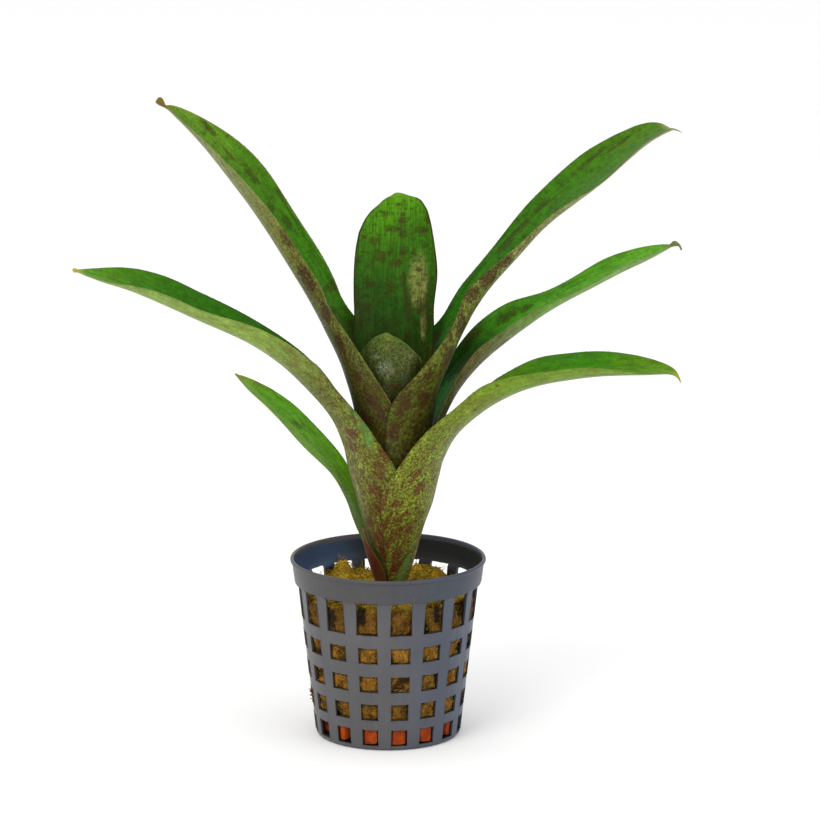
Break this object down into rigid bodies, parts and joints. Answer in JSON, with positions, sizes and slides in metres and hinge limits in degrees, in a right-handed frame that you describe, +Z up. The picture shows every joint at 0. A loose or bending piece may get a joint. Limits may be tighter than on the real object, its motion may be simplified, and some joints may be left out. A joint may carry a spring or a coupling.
{
  "type": "neoregelia_bromeliad",
  "caption": "Young neoregelia bromeliad with arching channelled leaves nested in a funnel, standing in a slotted grey net pot filled with moss over a clay drainage layer",
  "frame": {"origin": "middle of the pot's underside", "axes": "+Z up along the pot's axis, -Y the front, +X to the right seen from the front"},
  "size_m": [0.1705, 0.0624, 0.178],
  "materials": {
    "pot_plastic": "satin",
    "fired_clay": "matte",
    "moss_fibre": "matte",
    "stem_tissue": "matte",
    "leaf_tissue": "satin",
    "bract_tissue": "satin"
  },
  "bodies": {
    "root": {"net_pot": "pot_plastic", "clay_drainage": "fired_clay", "moss_fill": "moss_fibre", "stem": "stem_tissue", "leaf_c_lower_left": "leaf_tissue", "leaf_h_lower_right": "leaf_tissue", "leaf_b_middle_left": "leaf_tissue", "leaf_g_middle_right": "leaf_tissue", "leaf_f_upper_right": "leaf_tissue", "leaf_a_upper_left": "leaf_tissue", "leaf_d_centre_back": "leaf_tissue", "leaf_e_centre_young": "leaf_tissue", "basal_bract": "bract_tissue"}
  },
  "joints": []
}
